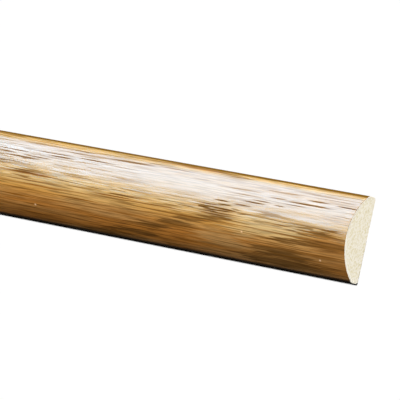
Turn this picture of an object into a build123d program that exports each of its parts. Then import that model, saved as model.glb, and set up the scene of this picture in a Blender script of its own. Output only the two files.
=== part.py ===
"""Batten moulding: a crowned cover strip with a fibreboard core and a woodgrain foil wrapped over it.

Millimetres. X runs along the strip, Y across it and Z up from the flat back, which lies on the floor.
The origin is at the middle of the back.
"""

import os
from math import sqrt

from build123d import *

# The finished strip, foil included
LENGTH = 2438.4  # 8 ft of stock, sawn square at both ends
WIDTH = 28.6  # 1 1/8 in, edge to edge
THICKNESS = 9.5  # 3/8 in, from the back to the top of the crown
EDGE_HEIGHT = 2.8  # square edge on each side, where the crown would meet it at a sharp corner

# The foil, and the core that it is wrapped over
FOIL_THICKNESS = 0.3
GLUE_LINE = 0.05  # adhesive between the foil and the core
CORNER_RADIUS = 0.85  # the core's eased corner between crown and edge, which the foil turns over
BACK_BEVEL = 0.25  # the core's share of the bevel that trims the foil along each back arris

# The crown is a single arc from edge to edge, and the foil keeps an even thickness around its centre
HALF_WIDTH = WIDTH / 2
CROWN_RISE = THICKNESS - EDGE_HEIGHT
CROWN_RADIUS = (HALF_WIDTH**2 + CROWN_RISE**2) / (2 * CROWN_RISE)
CROWN_CENTRE_HEIGHT = THICKNESS - CROWN_RADIUS

# The core lies under the foil and its glue, and the 45 degree trim bevel runs through all of them
CORE_INSET = FOIL_THICKNESS + GLUE_LINE
TRIM_HEIGHT = CORE_INSET + BACK_BEVEL

SAWN_END = Plane.YZ.offset(-LENGTH / 2)


def draw_edges_and_crown(inset):
    """Draws one edge, the crown and the other edge, set in from the finished face by inset."""
    half_width = HALF_WIDTH - inset
    foot = TRIM_HEIGHT - inset
    shoulder = CROWN_CENTRE_HEIGHT + sqrt((CROWN_RADIUS - inset) ** 2 - half_width**2)
    Line((-half_width, foot), (-half_width, shoulder))
    ThreePointArc((-half_width, shoulder), (0, THICKNESS - inset), (half_width, shoulder))
    Line((half_width, shoulder), (half_width, foot))


# Fibreboard core: the crowned section with a bare flat back
with BuildPart() as fibreboard_core:
    with BuildSketch(SAWN_END) as core_section:
        with BuildLine():
            draw_edges_and_crown(CORE_INSET)
            Polyline(
                (CORE_INSET - HALF_WIDTH, BACK_BEVEL),
                (TRIM_HEIGHT - HALF_WIDTH, 0),
                (HALF_WIDTH - TRIM_HEIGHT, 0),
                (HALF_WIDTH - CORE_INSET, BACK_BEVEL),
            )
        make_face()
        shoulders = core_section.vertices().group_by(Axis.Y)[-1]
        fillet(shoulders, CORNER_RADIUS)
    extrude(amount=LENGTH)

# Woodgrain foil: one even skin over the crown and both edges, trimmed just above the back
with BuildPart() as woodgrain_foil:
    with BuildSketch(SAWN_END) as foil_section:
        with BuildLine():
            draw_edges_and_crown(0)
            draw_edges_and_crown(FOIL_THICKNESS)
            for side in (-1, 1):
                Line(
                    (side * HALF_WIDTH, TRIM_HEIGHT),
                    (side * (HALF_WIDTH - FOIL_THICKNESS), TRIM_HEIGHT - FOIL_THICKNESS),
                )
        make_face()
        inner_shoulders, outer_shoulders = foil_section.vertices().group_by(Axis.Y)[-2:]
        fillet(outer_shoulders, CORNER_RADIUS + CORE_INSET)
        fillet(inner_shoulders, CORNER_RADIUS + GLUE_LINE)
    extrude(amount=LENGTH)

os.makedirs("parts", exist_ok=True)
for name, piece in (("fibreboard_core", fibreboard_core), ("woodgrain_foil", woodgrain_foil)):
    piece.part.label = name
    export_step(piece.part, f"parts/{name}.step")
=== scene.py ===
"""Looks of a batten moulding: a fibreboard core with a glossy woodgrain foil wrapped over its crown.

Metres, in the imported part's frame: X along the strip, Y across it, Z up from the flat back.
The sawn end that the camera looks at is the one at the highest X.
"""

from math import atan2, cos, pi, radians, sin, sqrt

import bmesh
import bpy
from mathutils import Matrix, Vector, noise


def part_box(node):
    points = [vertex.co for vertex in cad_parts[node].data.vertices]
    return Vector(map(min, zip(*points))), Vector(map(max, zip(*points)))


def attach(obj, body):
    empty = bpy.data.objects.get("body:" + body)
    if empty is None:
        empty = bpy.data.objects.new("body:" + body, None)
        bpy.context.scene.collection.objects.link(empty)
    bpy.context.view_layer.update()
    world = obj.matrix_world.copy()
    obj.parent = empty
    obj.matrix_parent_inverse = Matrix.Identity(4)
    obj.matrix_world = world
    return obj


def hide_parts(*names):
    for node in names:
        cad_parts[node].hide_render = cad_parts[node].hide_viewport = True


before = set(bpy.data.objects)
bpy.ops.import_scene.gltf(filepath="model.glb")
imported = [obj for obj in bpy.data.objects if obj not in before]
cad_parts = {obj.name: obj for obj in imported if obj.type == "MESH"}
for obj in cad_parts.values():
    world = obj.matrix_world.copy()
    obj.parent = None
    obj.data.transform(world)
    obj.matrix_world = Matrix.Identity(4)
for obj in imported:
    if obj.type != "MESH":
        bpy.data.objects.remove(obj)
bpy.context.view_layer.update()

# The strip's sizes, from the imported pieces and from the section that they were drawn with
FOIL_LOW, FOIL_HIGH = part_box("woodgrain_foil")
CORE_LOW, CORE_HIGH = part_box("fibreboard_core")
NEAR_END = FOIL_HIGH.x
FAR_END = FOIL_LOW.x
LENGTH = NEAR_END - FAR_END
HALF_WIDTH = FOIL_HIGH.y
THICKNESS = FOIL_HIGH.z
CORE_INSET = FOIL_HIGH.z - CORE_HIGH.z
EDGE_HEIGHT = 0.0028
FOIL_THICKNESS = 0.0003
CORNER_RADIUS = 0.0012
TRIM_HEIGHT = FOIL_LOW.z + FOIL_THICKNESS

# The crown's arc and the eased corner that it runs into. The crown turns from straight up to where the corner
# starts, and the corner turns from there to the upright edge.
CROWN_RISE = THICKNESS - EDGE_HEIGHT
CROWN_RADIUS = (HALF_WIDTH**2 + CROWN_RISE**2) / (2 * CROWN_RISE)
CROWN_CENTRE = THICKNESS - CROWN_RADIUS
CORNER_Y = HALF_WIDTH - CORNER_RADIUS
CORNER_Z = CROWN_CENTRE + sqrt((CROWN_RADIUS - CORNER_RADIUS) ** 2 - CORNER_Y**2)
CORNER_TURN = atan2(CORNER_Z - CROWN_CENTRE, CORNER_Y)
CROWN_TURN = pi / 2 - CORNER_TURN
CROWN_REACH = CROWN_RADIUS * CROWN_TURN

# How finely the meshes are divided
CROWN_STEPS = 96
CORNER_STEPS = 6
EDGE_STEPS = 4
LENGTH_STEPS = 32
END_ROWS = 24
SHARP_ARRIS = radians(35)

# Tear-out that the saw left in the fibreboard
TEAR_DEPTH = 0.00008
TEAR_SIZE = 0.0006

# The foil's two finishes, by number, and the map that lays it out flat
PRINTED = 0
PAPER = 1
SHEET_MAP = "foil_sheet"

# The bake map folds each long face that shows into rows, one above the other, and gives the rest thin bands.
# A band is its lowest and highest place on the square image.
BAKE_ROWS = 8
BAKE_GAP = 0.004
BAKE_ROW_GAP = 4 * BAKE_GAP
FOIL_FACE_BAND = (0.06, 1.0)
FOIL_INSIDE_BAND = (0.002, 0.016)
FOIL_RIM_BANDS = ((0.020, 0.024), (0.028, 0.032))
FOIL_TRIM_BANDS = ((0.036, 0.040), (0.044, 0.048))
CORE_BACK_BAND = (0.0, 0.72)
CORE_END_BAND = (0.74, 0.90)
CORE_END_SPANS = ((0.01, 0.49), (0.51, 0.99))
CORE_CROWN_BAND = (0.92, 0.94)
CORE_SIDE_BANDS = ((0.95, 0.965), (0.97, 0.985))

# A patch of print is full inside the second share of its half sizes and gone outside the first
PATCH_FADE = (1.3, 0.4)


class Wire:
    """A value that runs between shader nodes. An operator on wires adds a Math node."""

    def __init__(self, finish, socket):
        self.finish = finish
        self.socket = socket

    def maths(self, operation, *values):
        return self.finish.add("ShaderNodeMath", {"operation": operation}, dict(enumerate(values)))

    def __add__(self, other):
        return self.maths("ADD", self, other)

    def __radd__(self, other):
        return self.maths("ADD", other, self)

    def __sub__(self, other):
        return self.maths("SUBTRACT", self, other)

    def __rsub__(self, other):
        return self.maths("SUBTRACT", other, self)

    def __mul__(self, other):
        return self.maths("MULTIPLY", self, other)

    def __rmul__(self, other):
        return self.maths("MULTIPLY", other, self)

    def __truediv__(self, other):
        return self.maths("DIVIDE", self, other)

    def __rtruediv__(self, other):
        return self.maths("DIVIDE", other, self)

    def __lt__(self, other):
        return self.maths("LESS_THAN", self, other)

    def __gt__(self, other):
        return self.maths("GREATER_THAN", self, other)

    def __abs__(self):
        return self.maths("ABSOLUTE", self)


class Finish:
    """A node tree, with one method that adds any node to it."""

    def __init__(self, tree):
        self.tree = tree
        self.tree.nodes.clear()

    def add(self, kind, settings=None, inputs=None, output=0):
        node = self.tree.nodes.new(kind)
        for name, setting in (settings or {}).items():
            setattr(node, name, setting)
        for name, value in (inputs or {}).items():
            if isinstance(value, Wire):
                self.tree.links.new(value.socket, node.inputs[name])
            else:
                node.inputs[name].default_value = value
        return Wire(self, node.outputs[output]) if node.outputs else None

    def rise(self, value, low, high, top=1.0):
        """0 at low, top at high, a smooth rise between them, and level past both."""
        settings = {"interpolation_type": "SMOOTHSTEP"}
        inputs = {"Value": value, "From Min": low, "From Max": high, "To Max": top}
        return self.add("ShaderNodeMapRange", settings, inputs)

    def blend(self, share, under, over, blend_type="MIX"):
        """Lays the colour over on the colour under, by share."""
        settings = {"data_type": "RGBA", "blend_type": blend_type, "clamp_factor": True}
        return self.add("ShaderNodeMix", settings, {0: share, 6: under, 7: over}, output=2)

    def noise(self, place, detail=2.0, roughness=0.5):
        inputs = {"Vector": place, "Scale": 1.0, "Detail": detail, "Roughness": roughness}
        return self.add("ShaderNodeTexNoise", {"noise_dimensions": "3D"}, inputs)

    def place(self, x, y, z):
        return self.add("ShaderNodeCombineXYZ", None, {"X": x, "Y": y, "Z": z})

    def axis(self, place, name):
        return self.add("ShaderNodeSeparateXYZ", None, {0: place}, name)

    def vector(self, operation, *values, output=0):
        return self.add("ShaderNodeVectorMath", {"operation": operation}, dict(enumerate(values)), output)

    def largest(self, first, *others):
        for other in others:
            first = self.add("ShaderNodeMath", {"operation": "MAXIMUM"}, {0: first, 1: other})
        return first

    def left_by(self, first, *others):
        """What is left where each mask takes its share away."""
        left = 1.0 - first
        for other in others:
            left = left * (1.0 - other)
        return left

    def patches(self, place, patches):
        """The strongest of several soft-edged patches at a place."""
        strongest = 0.0
        for along, across, half_length, half_width, strength in patches:
            reach = (1 / half_length, 1 / half_width, 0.0)
            shift = (-along / half_length, -across / half_width, 0.0)
            offset = self.vector("MULTIPLY_ADD", place, reach, shift)
            away = self.vector("LENGTH", offset, output="Value")
            strongest = self.largest(self.rise(away, *PATCH_FADE, strength), strongest)
        return strongest

    def surface(self, inputs):
        shader = self.add("ShaderNodeBsdfPrincipled", None, inputs)
        self.add("ShaderNodeOutputMaterial", None, {"Surface": shader})


def colour(red, green, blue):
    return (red, green, blue, 1.0)


def new_finish(name, kind=Finish):
    material = bpy.data.materials.new(name)
    material.use_nodes = True
    return material, kind(material.node_tree)


# Shapes
def outline(inset):
    """The section's upper outline from the -Y foot to the +Y foot, set in from the finished face by inset.

    Each point is (y, z, reach), and reach is how far round the finished face it lies from the crown's middle.
    """
    corner = CORNER_RADIUS - inset
    crown = CROWN_RADIUS - inset
    half = []
    for step in range(CROWN_STEPS // 2 + 1):
        turn = CROWN_TURN * step / (CROWN_STEPS // 2)
        half.append((crown * sin(turn), CROWN_CENTRE + crown * cos(turn), CROWN_RADIUS * turn))
    for step in range(1, CORNER_STEPS + 1):
        turn = CROWN_TURN + CORNER_TURN * step / CORNER_STEPS
        reach = CROWN_REACH + CORNER_RADIUS * (turn - CROWN_TURN)
        half.append((CORNER_Y + corner * sin(turn), CORNER_Z + corner * cos(turn), reach))
    foot = TRIM_HEIGHT - inset
    edge_reach = half[-1][2]
    for step in range(1, EDGE_STEPS + 1):
        drop = (CORNER_Z - foot) * step / EDGE_STEPS
        half.append((HALF_WIDTH - inset, CORNER_Z - drop, edge_reach + drop))
    other_half = [(-y, z, -reach) for y, z, reach in half[:0:-1]]
    return other_half + half


def stations():
    """The places along the strip where its rings of points lie, from the far end to the near end."""
    return [FAR_END + LENGTH * step / LENGTH_STEPS for step in range(LENGTH_STEPS + 1)]


def quad(first, second, left):
    """A face's corners between two rows of points, each with its number in its row, from left to the next."""
    right = left + 1
    return [(first[left], left), (second[left], left), (second[right], right), (first[right], right)]


def finish_mesh(name, shape, finishes, sharp):
    """Makes a smooth-shaded piece from a bmesh, with hard arrises where faces meet at more than sharp."""
    bmesh.ops.recalc_face_normals(shape, faces=shape.faces)
    for face in shape.faces:
        face.smooth = True
    for edge in shape.edges:
        edge.smooth = edge.is_manifold and edge.calc_face_angle() < sharp
    mesh = bpy.data.meshes.new(name)
    shape.to_mesh(mesh)
    shape.free()
    for finish in finishes:
        mesh.materials.append(finish)
    piece = bpy.data.objects.new(name, mesh)
    bpy.context.scene.collection.objects.link(piece)
    return piece


class BakeMap:
    """Gives each corner of a piece its own place on a square image."""

    def __init__(self, shape):
        self.layer = shape.loops.layers.uv.new("OFBake")

    def lay(self, face, places):
        for loop, place in zip(face.loops, places):
            loop[self.layer].uv = place

    @staticmethod
    def between(span, share):
        low, high = span
        return low + (high - low) * share

    def fold(self, step, x, share, band):
        """A place in the row that holds this step along the strip. Share is 0 to 1 across the strip."""
        row = step * BAKE_ROWS // LENGTH_STEPS
        run = (x - FAR_END) / LENGTH * BAKE_ROWS - row
        u = self.between((BAKE_GAP, 1 - BAKE_GAP), run)
        height = self.between((BAKE_ROW_GAP, 1 - BAKE_ROW_GAP), share)
        return u, self.between(band, (row + height) / BAKE_ROWS)

    def strip(self, x, share, band):
        """A place in a thin band that holds the whole length."""
        return self.between((BAKE_GAP, 1 - BAKE_GAP), (x - FAR_END) / LENGTH), self.between(band, share)


def build_foil(print_finish, paper_finish):
    """A skin with an outside and an inside, joined by a trimmed foot on each side and a rim at each end."""
    shape = bmesh.new()
    sheet = shape.loops.layers.uv.new(SHEET_MAP)
    bake = BakeMap(shape)
    outer = outline(0.0)
    inner = outline(FOIL_THICKNESS)
    rings = []
    for x in stations():
        outside = [shape.verts.new((x, y, z)) for y, z, reach in outer]
        inside = [shape.verts.new((x, y, z)) for y, z, reach in inner]
        rings.append((outside, inside))
    reaches = [reach for y, z, reach in outer]
    shares = [(reach - reaches[0]) / (reaches[-1] - reaches[0]) for reach in reaches]
    last = len(outer) - 1

    def add_face(corners, finish, baked):
        face = shape.faces.new([point for point, number in corners])
        face.material_index = finish
        for loop, (point, number) in zip(face.loops, corners):
            loop[sheet].uv = (NEAR_END - point.co.x, reaches[number])
        bake.lay(face, baked)

    for step, ((far_out, far_in), (near_out, near_in)) in enumerate(zip(rings, rings[1:])):
        for left in range(last):
            corners = quad(far_out, near_out, left)
            baked = [bake.fold(step, point.co.x, shares[number], FOIL_FACE_BAND) for point, number in corners]
            add_face(corners, PRINTED, baked)
            corners = quad(far_in, near_in, left)
            baked = [bake.strip(point.co.x, shares[number], FOIL_INSIDE_BAND) for point, number in corners]
            add_face(corners, PAPER, baked)
        for number, band in zip((0, last), FOIL_TRIM_BANDS):
            points = (far_out[number], near_out[number], near_in[number], far_in[number])
            baked = [bake.strip(point.co.x, depth, band) for point, depth in zip(points, (0, 0, 1, 1))]
            add_face([(point, number) for point in points], PAPER, baked)
    for (outside, inside), (low, high) in zip((rings[0], rings[-1]), FOIL_RIM_BANDS):
        heights = (low, high, high, low)
        for left in range(last):
            corners = quad(outside, inside, left)
            baked = [(shares[number], height) for (point, number), height in zip(corners, heights)]
            add_face(corners, PAPER, baked)
    return finish_mesh("foil_wrap", shape, (print_finish, paper_finish), SHARP_ARRIS)


def build_core(finish):
    """The core's section is a grid of columns across it, so that the sawn ends have faces of their own."""
    shape = bmesh.new()
    bake = BakeMap(shape)
    tops = [(y, z) for y, z, reach in outline(CORE_INSET)][EDGE_STEPS:-EDGE_STEPS]
    back_bevel = TRIM_HEIGHT - CORE_INSET
    back_half = CORE_HIGH.y - back_bevel
    last = len(tops) - 1

    def foot(y):
        return min(max(0.0, abs(y) - back_half), back_bevel)

    def add_column(x, y, z, rows):
        heights = [foot(y) + (z - foot(y)) * row / rows for row in range(rows + 1)]
        return [shape.verts.new((x, y, height)) for height in heights]

    def add_face(corners, baked):
        bake.lay(shape.faces.new([point for point, number in corners]), baked)

    def share(point):
        return (point.co.y - CORE_LOW.y) / (CORE_HIGH.y - CORE_LOW.y)

    rings = []
    for step, x in enumerate(stations()):
        ring = []
        for number, (y, z) in enumerate(tops):
            needs_rows = step in (0, LENGTH_STEPS) or number in (0, last)
            ring.append(add_column(x, y, z, END_ROWS if needs_rows else 1))
        rings.append(ring)

    for step, (far, near) in enumerate(zip(rings, rings[1:])):
        crown_rows = [[column[-1] for column in ring] for ring in (far, near)]
        back_rows = [[column[0] for column in ring] for ring in (far, near)]
        for left in range(last):
            corners = quad(*crown_rows, left)
            baked = [bake.strip(point.co.x, share(point), CORE_CROWN_BAND) for point, number in corners]
            add_face(corners, baked)
            corners = quad(*back_rows, left)
            baked = [bake.fold(step, point.co.x, share(point), CORE_BACK_BAND) for point, number in corners]
            add_face(corners, baked)
        for side, band in zip((0, last), CORE_SIDE_BANDS):
            for row in range(END_ROWS):
                corners = quad(far[side], near[side], row)
                baked = [bake.strip(point.co.x, number / END_ROWS, band) for point, number in corners]
                add_face(corners, baked)
    for ring, span, inward in zip((rings[0], rings[-1]), CORE_END_SPANS, (1, -1)):
        for left, right in zip(ring, ring[1:]):
            for row in range(END_ROWS):
                corners = quad(left, right, row)
                across = [bake.between(span, share(point)) for point, number in corners]
                up = [bake.between(CORE_END_BAND, number / END_ROWS) for point, number in corners]
                add_face(corners, zip(across, up))
        for column in ring[1:-1]:
            for point in column[1:-1]:
                tear = max(0.0, noise.noise(point.co / TEAR_SIZE))
                point.co.x += inward * TEAR_DEPTH * tear
    return finish_mesh("core_stick", shape, (finish,), SHARP_ARRIS)


# Finishes
HONEY = colour(0.67, 0.265, 0.046)
GOLD = colour(0.76, 0.445, 0.11)
# A duller wheat laid on the print under the gloss band near the end: a painted tint that sets the highlight's
# colour
PAINTED_HIGHLIGHT_WHEAT = colour(0.715, 0.405, 0.12)
STRAW = colour(0.81, 0.56, 0.235)
RUSSET = colour(0.36, 0.13, 0.012)
UMBER = colour(0.40, 0.155, 0.027)
SMOKE = colour(0.20, 0.09, 0.019)
BARK = colour(0.15, 0.06, 0.004)
# A brighter amber painted along the crown's +Y flank: painted light where the key lamp falls most strongly
PAINTED_LIGHT_AMBER = colour(0.92, 0.54, 0.12)
ARRIS_BROWN = colour(0.21, 0.10, 0.004)
DUST = colour(1.0, 0.68, 0.38)
PAPER_LIGHT = colour(0.98, 0.94, 0.82)
PAPER_DARK = colour(0.94, 0.88, 0.72)
CREAM = colour(0.90, 0.85, 0.73)
BEIGE = colour(0.75, 0.67, 0.43)

# The printed figure near the end that shows, in millimetres on the flat foil. A patch is how far it lies from
# the near end and across from the crown's middle, half its length, half its width, and its strength.
SMOKE_PATCHES = (
    (82, -5.9, 12, 1.4, 0.9),
    (76, -3.9, 9, 1.8, 0.8),
    (65, -2.2, 8, 1.0, 0.7),
    (93, -8.6, 13, 1.8, 0.9),
    (104, -12.2, 15, 1.4, 0.9),
    (112, -9.8, 9, 0.6, 0.6),
    (27, -5.2, 9, 1.6, 0.9),
    (31, -9.8, 16, 2.8, 1.0),
    (32, -13.2, 24, 2.2, 1.0),
    (51, -9.5, 6, 0.5, 0.5),
    (8, -4.4, 16, 1.5, 0.9),
    (118, -14.5, 22, 1.4, 0.7),
)
UMBER_PATCHES = (
    (4, -4.5, 20, 3.0, 0.80),
    (8, -10.0, 20, 3.0, 0.40),
    (82, 14.6, 18, 0.7, 0.80),
    (113, -6.0, 16, 1.5, 0.50),
    (160, -14.0, 30, 3.5, 0.40),
    (66, 0.2, 11, 1.4, 0.40),
    (3, 0.2, 10, 1.3, 0.40),
)
STRAW_PATCHES = (
    (38, -2.0, 16, 3.0, 1.0),
    (48, -4.7, 10, 2.0, 0.7),
    (60, -8.5, 13, 3.0, 0.4),
    (100, 0.6, 30, 0.9, 0.4),
    (148, -1.2, 34, 2.0, 0.5),
)
DASH_GROUPS = (
    (174, 6.5, 26, 4.5, 0.7),
    (62, 0.7, 15, 2.2, 1.0),
    (15, -0.8, 20, 2.4, 0.7),
)
CLEAR_PATCHES = (
    (88, 7.5, 30, 4.5, 0.9),
    (40, -2.2, 14, 1.8, 0.9),
    (96, 1.2, 10, 1.2, 0.8),
)
DASHES = (
    (165, 6.6, 10, 0.28, 0.9),
    (170, 4.4, 6, 0.25, 0.7),
    (168, 8.7, 6, 0.22, 0.9),
    (157, 7.3, 8, 0.22, 0.9),
    (146, 8.9, 8, 0.32, 0.9),
    (150, 9.9, 12, 0.25, 0.8),
    (129, 9.9, 11, 0.28, 0.9),
    (140, 11.6, 5, 0.25, 0.6),
    (138, 12.9, 6, 0.30, 0.6),
    (113, 12.0, 13, 0.50, 0.8),
    (101, 13.1, 5, 0.25, 0.7),
    (90, 12.5, 9, 0.25, 0.6),
    (61, 4.0, 4, 0.28, 1.0),
    (59, 2.7, 4, 0.30, 1.0),
    (51, 3.6, 5, 0.30, 0.9),
    (46, 5.3, 6, 0.28, 1.0),
    (43, 6.3, 5, 0.25, 0.8),
    (34, 5.7, 3, 0.25, 0.8),
    (36, 8.3, 5, 0.25, 0.7),
    (21, 7.9, 12, 0.28, 0.9),
    (27, 6.9, 6, 0.25, 0.7),
    (18, 9.7, 6, 0.28, 0.9),
    (4, 9.4, 6, 0.28, 1.0),
)
RUSSET_LINES = (
    (157, 1.1, 15, 0.20, 1.0),
    (151, -2.7, 15, 0.22, 1.0),
    (131, -4.6, 12, 0.24, 1.0),
    (164, -7.0, 11, 0.25, 1.0),
    (126, -8.7, 9, 0.25, 0.5),
    (114, -1.4, 13, 0.28, 0.9),
    (86, -1.6, 6, 0.25, 0.7),
    (67, 2.1, 6, 0.25, 0.8),
    (59, 1.2, 5, 0.35, 0.7),
    (63, -0.9, 8, 0.28, 0.7),
    (70, -3.5, 10, 0.28, 0.7),
    (14, -0.8, 10, 0.25, 0.8),
    (30, -0.6, 5, 0.25, 0.6),
    (6, -2.1, 7, 0.25, 0.6),
)
DUST_SPECKS = (
    (154.6, -9.5, 0.50, 0.36, 1.0),
    (48.9, -5.0, 0.50, 0.32, 1.0),
    (11.9, -9.7, 0.50, 0.36, 1.0),
)

# Fibres of the print: a length and a width in millimetres, and a seed that sets one kind apart from another
RAGGED_ENDS = (16.0, 0.5, 2.2)
SWAY = (60.0, 7.0, 5.5)
WAVE = (25.0, 4.0, 6.6)
GLOSS_STREAKS = (11.0, 0.42, 15.5)
SPARKS = (9.0, 0.45, 23.7)
FINE_FIBRES = (14.0, 0.42, 3.1)
TONE_BANDS = (70.0, 4.0, 1.3)
SMOKE_DRIFT = (45.0, 5.0, 8.8)
LOOSE_GROUPS = (30.0, 2.4, 6.3)
GROUPED_DASHES = ((20.0, 0.7, 7.7), (13.0, 0.6, 17.7), (8.0, 0.5, 21.3))
LONG_STREAKS = (45.0, 0.7, 4.1)
HAIRS = (24.0, 0.6, 9.9)
THREADS = (17.0, 0.42, 14.1)
FINE_ROUGHNESS = 0.6

# How far fibres push a place about, in millimetres from one extreme to the other
RAGGED_SWING = 34.0
SWAY_SWING = 1.5
WAVE_SWING = 0.5
GLOSS_SWING = 20.0

# How far aside the loose smoke drifts for each millimetre along
DRIFT_SLANT = 0.28

# Where a mark that is cut out of fibres starts and where it is full, on the fibres' scale of 0 to 1
SPARSE_CUT = (0.61, 0.69)
SPARK_CUT = (0.56, 0.64)
DULL_CUT = (0.54, 0.64)
LINE_CUT = (0.40, 0.58)
TONE_CUT = (0.38, 0.66)
DRIFT_CUT = (0.52, 0.72)
LOOSE_CUT = (0.57, 0.68)

# How strongly fine fibres fray the smoke, and where the frayed smoke starts and is full
SMOKE_FRAY = 1.5
SMOKE_CUT = (0.12, 0.95)

# Places along the foil from an end, and across it from the crown's middle, in millimetres
MM_IN_METRE = 1000.0
CROWN_EDGE = MM_IN_METRE * CROWN_REACH
SEEN_FIGURE = (170.0, 200.0)
SAWN_ARRIS = (0.15, 0.3)
SAWN_ARRIS_SIDE = (-2.0, 2.0)
GROUND_TURN = (-9.0, 1.0)
CALM_END = (12.5, 14.0)
# Where the painted light of the amber +Y flank starts and where it is full
PAINTED_LIGHT_START = (12.8, 14.2)
LIT_ARRIS = (CROWN_EDGE - 0.9, CROWN_EDGE - 0.3)
# Painted shade along the -Y arris: full below the first place, gone above the second
SHADED_ARRIS = (-CROWN_EDGE - 0.1, -CROWN_EDGE + 1.0)

# The gloss on the crown has a lower edge, which climbs along the run away from the near end. The other ranges
# are millimetres across the foil, up from that edge.
GLOSS_EDGE = -0.2
GLOSS_RUN = (0.0, 200.0)
GLOSS_CLIMB = 2.2
CALM_START = (-0.5, 2.5)
FADE_START = (-4.5, -1.5)
FADE_END = (0.0, 3.0)
STREAKY_GLOSS = (-0.4, 5.2)
EVEN_GLOSS = (-1.0, 6.0)
EVEN_SHARE = 0.85
FAINT_GLOSS = (-5.5, 0.0)
FAINT_SHARE = 0.25
SPARK_SHARE = 0.4
LOW_GLOSS_END = (-8.5, -5.5)

# How strongly the marks are printed and the arrises are darkened, the -Y one with painted shade. Calm is the
# print under the gloss, and lively is what the rest of the face adds.
TONE_SHARE = 0.4
SMOKE_SHARE = 0.85
DASH_SHARE = 0.95
LONG_STREAK_SHARE = 0.6
MARK_SHARE = 0.8
CALM_MARKS = 0.5
LIVELY_MARKS = 0.2
THREAD_SHARE = 0.5
FADING_THREADS = 0.75
LIVELY_RUSSET = 0.3
CALM_LINES = 0.18
LIVELY_LINES = 0.14
# Painted shade: how dark the -Y arris is painted
PAINTED_SHADE_DEPTH = 0.9
SAWN_SHADE = 0.4

# How much of the clear coat the marks take away. A range is the strength of a mark where the coat starts to
# thin and where it is gone.
MARKS_BARE = (0.0, 0.8)
DASHES_BARE = (0.0, 0.9)
SMOKE_BARE = (0.0, 0.8)
LINE_WEAR = 0.22
DULL_WEAR = 0.6
# Painted shade: how much gloss comes off the -Y arris, so that its painted shade stays dark
PAINTED_SHADE_BARE = 0.8

# How rough the print is under its coat, what the marks add to that, and how high its fibres stand in metres
PRINT_ROUGHNESS = 0.28
MARK_ROUGHNESS = 0.2
DASH_ROUGHNESS = 0.3
PRINT_RELIEF = 0.000015


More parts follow.
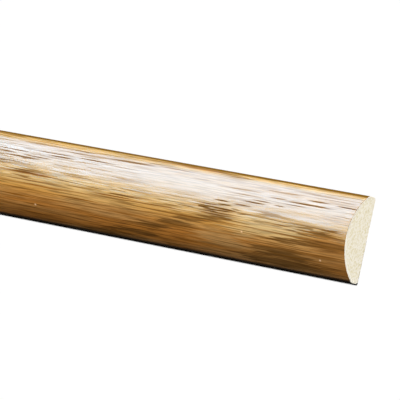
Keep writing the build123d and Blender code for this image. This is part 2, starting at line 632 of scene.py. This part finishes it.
class WoodgrainPrint(Finish):
    """The foil's printed face.

    Along and across are millimetres on the flat foil, from the near end and from the crown's middle.
    """

    def __init__(self, tree):
        super().__init__(tree)
        sheet = self.add("ShaderNodeUVMap", {"uv_map": SHEET_MAP})
        self.along = self.axis(sheet, "X") * MM_IN_METRE
        self.across = self.axis(sheet, "Y") * MM_IN_METRE
        self.beyond = self.rise(self.along, *SEEN_FIGURE)
        self.lay_gloss()
        self.lay_figure()
        self.lay_marks()
        self.lay_arrises_and_painted_shade()

    def fibres(self, grain, detail=2.0, roughness=0.5):
        length, width, seed = grain
        return self.noise(self.place(self.along / length, self.across / width, seed), detail, roughness)

    def flecks(self, grain, cut=SPARSE_CUT):
        """Thin straight dashes, cut out of plain fibres."""
        return self.rise(self.fibres(grain, 0.0), *cut)

    def swing(self, grain, reach, detail=2.0):
        """A shift that follows fibres, half of reach either way at most."""
        return (self.fibres(grain, detail) - 0.5) * reach

    def lay_gloss(self):
        """Where the gloss shows: even high on the crown, fading in streaks and sparks, and again low down."""
        edge = self.across - GLOSS_EDGE - self.rise(self.along, *GLOSS_RUN) * GLOSS_CLIMB
        past_gloss = self.rise(self.across, *CALM_END)
        self.calm = self.rise(edge, *CALM_START) * self.left_by(past_gloss, self.beyond)
        self.lively = 1.0 - self.calm
        self.fading = self.rise(edge, *FADE_START) * (1.0 - self.rise(edge, *FADE_END))
        streaky = self.rise(edge + self.swing(GLOSS_STREAKS, GLOSS_SWING, 1.0), *STREAKY_GLOSS)
        even = self.rise(edge, *EVEN_GLOSS) * EVEN_SHARE
        faint = self.rise(edge, *FAINT_GLOSS) * FAINT_SHARE
        self.sparks = self.flecks(SPARKS, SPARK_CUT) * self.fading
        self.lit = self.largest(streaky, even, faint, self.sparks * SPARK_SHARE)
        self.glossy = self.largest(self.lit, 1.0 - self.rise(edge, *LOW_GLOSS_END))

    def lay_figure(self):
        """The figure's patches, ragged and swaying, and a looser figure past what the photograph shows."""
        ragged = self.along + self.swing(RAGGED_ENDS, RAGGED_SWING, 1.0)
        figure = self.place(ragged, self.across + self.swing(SWAY, SWAY_SWING), 0.0)
        self.fine = self.fibres(FINE_FIBRES, 2.0, FINE_ROUGHNESS)
        self.lines = self.rise(self.fine, *LINE_CUT)
        length, width, seed = SMOKE_DRIFT
        drift = self.place(ragged / length, (self.across + ragged * DRIFT_SLANT) / width, seed)
        loose_smoke = self.beyond * self.rise(self.noise(drift), *DRIFT_CUT)
        clouds = self.patches(figure, SMOKE_PATCHES) + loose_smoke
        self.smoke = self.rise(clouds + (0.5 - self.fine) * SMOKE_FRAY, *SMOKE_CUT)
        self.pale = self.patches(figure, STRAW_PATCHES)
        self.browned = self.patches(figure, UMBER_PATCHES)
        self.unclear = 1.0 - self.patches(figure, CLEAR_PATCHES)
        loose_groups = self.rise(self.fibres(LOOSE_GROUPS), *LOOSE_CUT) * self.beyond
        self.groups = self.patches(figure, DASH_GROUPS) + loose_groups

    def lay_marks(self):
        """The thin marks: dashes and russet streaks that wave a little, and straight hairs and threads."""
        wavy = self.place(self.along, self.across + self.swing(WAVE, WAVE_SWING), 0.0)
        grouped = self.groups * self.largest(*[self.flecks(grain) for grain in GROUPED_DASHES])
        self.dashes = self.largest(self.patches(wavy, DASHES), grouped)
        long_streaks = self.flecks(LONG_STREAKS) * LONG_STREAK_SHARE * self.lively
        self.streaks = self.largest(self.patches(wavy, RUSSET_LINES), long_streaks)
        marking = (CALM_MARKS + self.lively * LIVELY_MARKS) * self.unclear
        hairs = self.flecks(HAIRS) * marking
        fading_threads = self.fading * self.unclear * FADING_THREADS
        threads = self.flecks(THREADS) * (marking * THREAD_SHARE + fading_threads)
        self.marked = 1.0 - self.left_by(hairs, threads)
        wide_marks = self.largest(self.flecks(HAIRS, DULL_CUT), self.flecks(THREADS, DULL_CUT))
        self.dulled = wide_marks * self.fading * DULL_WEAR

    def lay_arrises_and_painted_shade(self):
        """The long arrises, the -Y one darkened with painted shade, the sawn arrises at both ends, and the
        specks of dust.
        """
        self.lit_arris = self.rise(self.across, *LIT_ARRIS)
        # Painted shade along the -Y arris, on the strip's shaded side
        self.painted_shade = 1.0 - self.rise(self.across, *SHADED_ARRIS)
        ends = {0: self.along, 1: MM_IN_METRE * LENGTH - self.along}
        from_end = self.add("ShaderNodeMath", {"operation": "MINIMUM"}, ends)
        self.arris = (1.0 - self.rise(from_end, *SAWN_ARRIS)) * self.rise(self.across, *SAWN_ARRIS_SIDE)
        self.dust = self.patches(self.place(self.along, self.across, 0.0), DUST_SPECKS)

    def ink(self):
        """The print's colour, laid on in layers from the ground to the dust, with painted light, painted
        highlight and painted shade among them.
        """
        tone = self.rise(self.fibres(TONE_BANDS), *TONE_CUT) * self.lively
        # Painted highlight: pale straw where the gloss streaks and sparks in its fading edge
        painted_highlight_streaks = self.largest(self.lit, self.sparks) * self.fading
        layers = (
            # Painted highlight tint: wheat under the gloss band
            (self.calm, PAINTED_HIGHLIGHT_WHEAT),
            # Painted light: the brighter amber along the lit +Y flank
            (self.rise(self.across, *PAINTED_LIGHT_START), PAINTED_LIGHT_AMBER),
            (tone * TONE_SHARE, STRAW),
            (self.pale, STRAW),
            # Painted highlight: pale straw along the gloss streaks, and where the gloss is missing inside the
            # calm band
            (self.largest(painted_highlight_streaks, (1.0 - self.lit) * self.calm), STRAW),
            (self.browned, UMBER),
            (self.streaks, RUSSET),
            (self.smoke * SMOKE_SHARE, SMOKE),
            (self.marked * MARK_SHARE, self.blend(self.lively * LIVELY_RUSSET, BARK, RUSSET)),
            (self.dashes * DASH_SHARE, BARK),
        )
        ink = self.blend(self.rise(self.across, *GROUND_TURN), HONEY, GOLD)
        for share, over in layers:
            ink = self.blend(share, ink, over)
        line_shade = (1.0 - self.lines) * (CALM_LINES + self.lively * LIVELY_LINES)
        # The painted shade on the -Y arris darkens the ink here, together with the fine lines and the sawn
        # arrises
        shade = self.left_by(line_shade, self.painted_shade * PAINTED_SHADE_DEPTH, self.arris * SAWN_SHADE)
        ink = self.blend(1.0, ink, shade, "MULTIPLY")
        ink = self.blend(self.lit_arris, ink, ARRIS_BROWN)
        return self.blend(self.dust, ink, DUST)

    def coat(self):
        """The clear coat where the gloss shows, off the dark marks, the dust and the arrises, so the -Y
        arris's painted shade stays dark.
        """
        marks = (self.rise(self.marked, *MARKS_BARE), self.rise(self.dashes, *DASHES_BARE), self.streaks)
        figure = (self.rise(self.smoke, *SMOKE_BARE), self.browned)
        # The painted shade on the -Y arris also takes the gloss off it
        wear_and_painted_shade = (self.arris, self.painted_shade * PAINTED_SHADE_BARE, self.lit_arris, self.dust)
        lines = (1.0 - self.lines) * LINE_WEAR
        return self.glossy * self.left_by(lines, *marks, *figure, *wear_and_painted_shade, self.dulled)


def woodgrain_print():
    material, f = new_finish("woodgrain_print", WoodgrainPrint)
    relief = f.add("ShaderNodeBump", None, {"Strength": 1.0, "Distance": PRINT_RELIEF, "Height": f.fine})
    roughness = PRINT_ROUGHNESS + f.marked * MARK_ROUGHNESS + f.dashes * DASH_ROUGHNESS
    inputs = {"Base Color": f.ink(), "Roughness": roughness, "Normal": relief}
    inputs |= {"IOR": 1.5, "Specular IOR Level": 0.03}
    inputs |= {"Coat Weight": f.coat(), "Coat Roughness": 0.2, "Coat IOR": 1.6}
    f.surface(inputs)
    return material


# Grains to a metre in the foil's paper, and specks in the fibreboard that are flatter than they are wide
PAPER_GRAINS = 3000.0
PAPER_CUT = (0.35, 0.65)
SPECK_SIZE = 0.0007
SPECK_SQUASH = 2
SPECK_CUT = (0.40, 0.68)
BOARD_RELIEF = 0.00008

# A pale rim under the foil, by its distance from the crown's centre, on the -Y side of the section
PALE_RIM = (CROWN_RADIUS - 0.0009, CROWN_RADIUS - 0.0005)
PALE_RIM_END = (-0.001, 0.002)


def foil_paper():
    material, f = new_finish("foil_paper")
    place = f.add("ShaderNodeTexCoord", output="Object")
    grain = f.vector("MULTIPLY", place, (PAPER_GRAINS, PAPER_GRAINS, PAPER_GRAINS))
    tint = f.blend(f.rise(f.noise(grain), *PAPER_CUT), PAPER_DARK, PAPER_LIGHT)
    f.surface({"Base Color": tint, "Roughness": 0.7})
    return material


def fibreboard():
    material, f = new_finish("fibreboard")
    place = f.add("ShaderNodeTexCoord", output="Object")
    specks = f.vector("MULTIPLY", place, (1 / SPECK_SIZE, 1 / SPECK_SIZE, SPECK_SQUASH / SPECK_SIZE))
    tint = f.blend(f.rise(f.noise(specks, 3.0), *SPECK_CUT), CREAM, BEIGE)
    spoke = f.vector("SUBTRACT", place, (0.0, 0.0, CROWN_CENTRE))
    spoke = f.vector("MULTIPLY", spoke, (0.0, 1.0, 1.0))
    radius = f.vector("LENGTH", spoke, output="Value")
    rim = f.rise(radius, *PALE_RIM) * (1.0 - f.rise(f.axis(place, "Y"), *PALE_RIM_END))
    tint = f.blend(rim, tint, PAPER_LIGHT)
    height = f.noise(specks, 2.0)
    relief = f.add("ShaderNodeBump", None, {"Strength": 0.6, "Distance": BOARD_RELIEF, "Height": height})
    f.surface({"Base Color": tint, "Roughness": 0.85, "Specular IOR Level": 0.2, "Normal": relief})
    return material


# Studio
WHITE = colour(1.0, 1.0, 1.0)
BLACK = colour(0.0, 0.0, 0.0)
FLOOR_HALF = 6.0
FLOOR_DROP = 0.00005
FLOOR_PAPER = colour(0.10, 0.10, 0.10)
FLOOR_GLOW = 1.06
FLOOR_GLOW_SHARE = 0.95
FILL = colour(1.0, 0.75, 0.5)
FILL_LEVEL = 0.02

# The painted contact shadow, a dark line where the strip's shaded edge meets the floor: how far round a spot
# is searched for the strip, and how open the spot is where the line is full and where it is gone
CONTACT_REACH = 0.0012
CONTACT_SAMPLES = 16
CONTACT_OPENNESS = (0.74, 0.84)


def build_floor():
    """A floor that glows white to the camera, with a painted contact shadow, and is grey paper to the strip.
    """
    material, f = new_finish("studio_floor")
    settings = {"samples": CONTACT_SAMPLES}
    openness = f.add("ShaderNodeAmbientOcclusion", settings, {"Distance": CONTACT_REACH}, "AO")
    place = f.add("ShaderNodeNewGeometry", output="Position")
    shaded_side = f.axis(place, "Y") < 0.0
    between_ends = abs(f.axis(place, "X")) < NEAR_END
    # Painted shadow: the glow is darkened where the floor meets the strip's shaded side, between its ends
    painted_contact_shadow = (1.0 - f.rise(openness, *CONTACT_OPENNESS)) * shaded_side * between_ends
    white = f.blend(painted_contact_shadow, WHITE, BLACK)
    glow = f.add("ShaderNodeEmission", None, {"Color": white, "Strength": FLOOR_GLOW})
    paper = f.add("ShaderNodeBsdfDiffuse", None, {"Color": FLOOR_PAPER})
    seen = f.add("ShaderNodeLightPath", output="Is Camera Ray")
    surface = f.add("ShaderNodeMixShader", None, {0: seen * FLOOR_GLOW_SHARE, 1: paper, 2: glow})
    f.add("ShaderNodeOutputMaterial", None, {"Surface": surface})
    shape = bmesh.new()
    bmesh.ops.create_grid(shape, x_segments=1, y_segments=1, size=FLOOR_HALF)
    floor = finish_mesh("studio_floor", shape, (material,), pi)
    floor.location.z = -FLOOR_DROP


def axes_to_matrix(x, y, z, place):
    turn = Matrix((x, y, z)).transposed().to_4x4()
    turn.translation = place
    return turn


def add_lamp(name, target, towards, distance, long_axis, size, power, tint, seen_by, slide=0.0):
    """A rectangular lamp that faces the target from the direction towards, its first side along long_axis.

    It is slid along its second side by slide. Seen by matt, it lights only the matt part of a finish.
    Seen by gloss, it shows only in the gloss.
    """
    z = towards.normalized()
    x = (long_axis - z * long_axis.dot(z)).normalized()
    y = z.cross(x)
    data = bpy.data.lights.new(name, "AREA")
    data.shape = "RECTANGLE"
    data.size, data.size_y = size
    data.energy = power
    data.color = tint
    lamp = bpy.data.objects.new(name, data)
    lamp.matrix_world = axes_to_matrix(x, y, z, target + z * distance + y * slide)
    lamp.visible_camera = False
    lamp.visible_diffuse = seen_by != "gloss"
    lamp.visible_glossy = seen_by != "matt"
    bpy.context.scene.collection.objects.link(lamp)


# The spots near the strip's ends that the lamps aim at
SPOT_INSET = 0.09
SPOT_HEIGHT = 0.005
NEAR_PART = Vector((NEAR_END - SPOT_INSET, 0.0, SPOT_HEIGHT))
FAR_PART = Vector((FAR_END + SPOT_INSET, 0.0, SPOT_HEIGHT))
ACROSS = Vector((0.0, 1.0, 0.0))
WHITE_LIGHT = (1.0, 1.0, 1.0)

# Lamps that light only the matt part of each finish. A lamp's level holds when its distance changes.
KEY_DISTANCE = 8.0
KEY_SIZE = (3.2, 3.2)
KEY_TOWARDS = Vector((-0.30, 0.58, 0.76))
KEY_LEVEL = 1.3
END_DISTANCE = 1.5
END_SIZE = (0.6, 0.3)
END_LEVEL = 1.12
FRONT_TOWARDS = Vector((0.998, 0.0, 0.05))
REAR_TOWARDS = Vector((-0.998, 0.0, 0.05))


def add_matt_lamps():
    lamps = (
        ("key", NEAR_PART, KEY_TOWARDS, KEY_DISTANCE, KEY_SIZE, KEY_LEVEL),
        ("front", NEAR_PART, FRONT_TOWARDS, END_DISTANCE, END_SIZE, END_LEVEL),
        ("rear", FAR_PART, REAR_TOWARDS, END_DISTANCE, END_SIZE, END_LEVEL),
    )
    for name, target, towards, distance, size, level in lamps:
        power = level * pi**2 * distance**2
        add_lamp(name, target, towards, distance, ACROSS, size, power, WHITE_LIGHT, "matt")


# Softboxes that show only in the gloss, set back towards the far end so that the crown mirrors them to the
# camera. An arc is the angles from straight up, round the strip, where a softbox starts and ends, and how
# bright it is. A column is where its softboxes start and end on their second side, how wide it spreads the
# arcs about the middle angle, and how bright it is. The strip's near end mirrors the near column.
SOFTBOX_DISTANCE = 1.6
SOFTBOX_BACK = 0.73
SOFTBOX_TINT = (0.208, 0.60, 1.0)
SOFTBOX_LEVEL = 9.0
SOFTBOX_ARCS = ((64, 86, 0.85), (30, 64, 1.0), (8, 30, 1.0), (-6, 8, 0.5), (-20, -6, 0.13))
SOFTBOX_MIDDLE = 50
SOFTBOX_COLUMNS = {"near": (-0.35, 0.0, 1.08, 1.13), "far": (0.0, 0.35, 0.9, 0.92)}


def add_softboxes():
    round_share = sqrt(1 - SOFTBOX_BACK**2)
    for column, (first, last, spread, level) in SOFTBOX_COLUMNS.items():
        for number, (start, end, brightness) in enumerate(SOFTBOX_ARCS, 1):
            middle = radians(SOFTBOX_MIDDLE + spread * ((start + end) / 2 - SOFTBOX_MIDDLE))
            half = radians(spread * (end - start)) / 2
            towards = Vector((-SOFTBOX_BACK, round_share * sin(middle), round_share * cos(middle)))
            round_crown = Vector((0.0, cos(middle), -sin(middle)))
            facing = SOFTBOX_BACK**2 + round_share**2 * cos(half)
            length = 2 * SOFTBOX_DISTANCE * round_share * sin(half) / facing
            size = (length, last - first)
            power = SOFTBOX_LEVEL * level * brightness * pi * length * (last - first)
            place = (f"softbox_{column}_{number}", NEAR_PART, towards, SOFTBOX_DISTANCE, round_crown, size)
            add_lamp(*place, power, SOFTBOX_TINT, "gloss", (first + last) / 2)


def add_fill():
    """A white backdrop to the camera, and a faint warm fill to the strip."""
    world = bpy.data.worlds.new("studio")
    world.use_nodes = True
    f = Finish(world.node_tree)
    seen = f.add("ShaderNodeLightPath", output="Is Camera Ray")
    shown = f.blend(seen, FILL, WHITE)
    level = FILL_LEVEL + seen * (1.0 - FILL_LEVEL)
    fill = f.add("ShaderNodeBackground", None, {"Color": shown, "Strength": level})
    f.add("ShaderNodeOutputWorld", None, {"Surface": fill})
    bpy.context.scene.world = world


# The photograph's frame, and the camera fitted to the strip's edges and sawn end
PHOTO_PIXELS = 400
SENSOR_MM = 36.0
FOCAL_PIXELS = 4744.7
CAMERA_PLACE = Vector((2.30124, -0.03865, 1.08156))
CAMERA_LOOK = Vector((-0.7321, 0.02629, -0.68069))
CAMERA_UP = Vector((-0.12485, 0.97715, 0.17202))
CAMERA_CLIP = 0.01


def place_camera():
    data = bpy.data.cameras.new("camera")
    data.sensor_width = SENSOR_MM
    data.lens = SENSOR_MM * FOCAL_PIXELS / PHOTO_PIXELS
    data.clip_start = CAMERA_CLIP
    camera = bpy.data.objects.new("camera", data)
    z = -CAMERA_LOOK.normalized()
    x = CAMERA_UP.cross(z).normalized()
    camera.matrix_world = axes_to_matrix(x, z.cross(x), z, CAMERA_PLACE)
    bpy.context.scene.collection.objects.link(camera)
    bpy.context.scene.camera = camera


foil = build_foil(woodgrain_print(), foil_paper())
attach(foil, "root")
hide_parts("woodgrain_foil")

core = build_core(fibreboard())
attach(core, "root")
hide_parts("fibreboard_core")

build_floor()
add_matt_lamps()
add_softboxes()
add_fill()
place_camera()
bpy.context.scene.view_settings.view_transform = "Standard"
